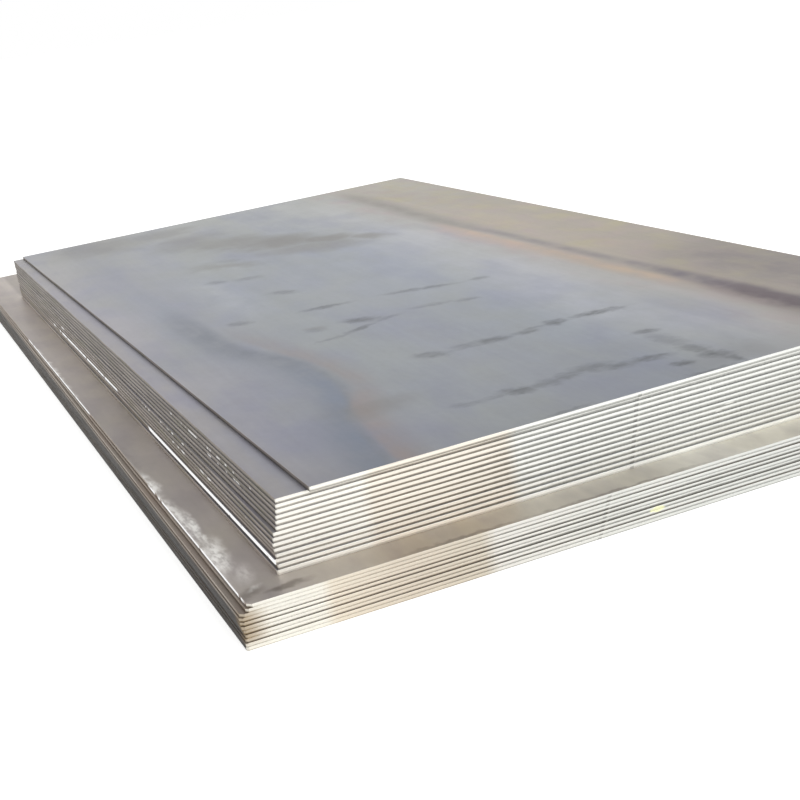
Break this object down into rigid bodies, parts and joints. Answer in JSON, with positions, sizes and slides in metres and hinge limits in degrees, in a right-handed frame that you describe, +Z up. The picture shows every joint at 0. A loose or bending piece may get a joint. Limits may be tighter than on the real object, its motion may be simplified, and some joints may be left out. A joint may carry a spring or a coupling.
{
  "type": "stack of steel plates",
  "caption": "Stack of flat hot-rolled steel plates with sheared edges: a pack of thicker plates set in on a pack of thinner ones, the top plate laid askew.",
  "frame": {"origin": "on the floor, under the middle of the whole stack's box", "axes": "+X across the plates, +Y along the rolling direction, +Z up"},
  "size_m": [1.5174, 3.0086, 0.191],
  "materials": {
    "lower_steel": "hot-rolled mill scale, brownish grey, with bright sheared ends",
    "upper_steel": "hot-rolled mill scale, blue grey, with bright sheared ends"
  },
  "bodies": {
    "root": {"lower_plate_01": "lower_steel", "lower_plate_02": "lower_steel", "lower_plate_03": "lower_steel", "lower_plate_04": "lower_steel", "lower_plate_05": "lower_steel", "lower_plate_06": "lower_steel", "lower_plate_07": "lower_steel", "lower_plate_08": "lower_steel", "lower_plate_09": "lower_steel", "lower_plate_10": "lower_steel", "lower_plate_11": "lower_steel", "upper_plate_01": "upper_steel", "upper_plate_02": "upper_steel", "upper_plate_03": "upper_steel", "upper_plate_04": "upper_steel", "upper_plate_05": "upper_steel", "upper_plate_06": "upper_steel", "upper_plate_07": "upper_steel", "upper_plate_08": "upper_steel", "upper_plate_09": "upper_steel", "upper_plate_10": "upper_steel", "upper_plate_11": "upper_steel", "upper_plate_12": "upper_steel", "upper_plate_13": "upper_steel", "upper_plate_14": "upper_steel", "upper_plate_15": "upper_steel"}
  },
  "joints": []
}
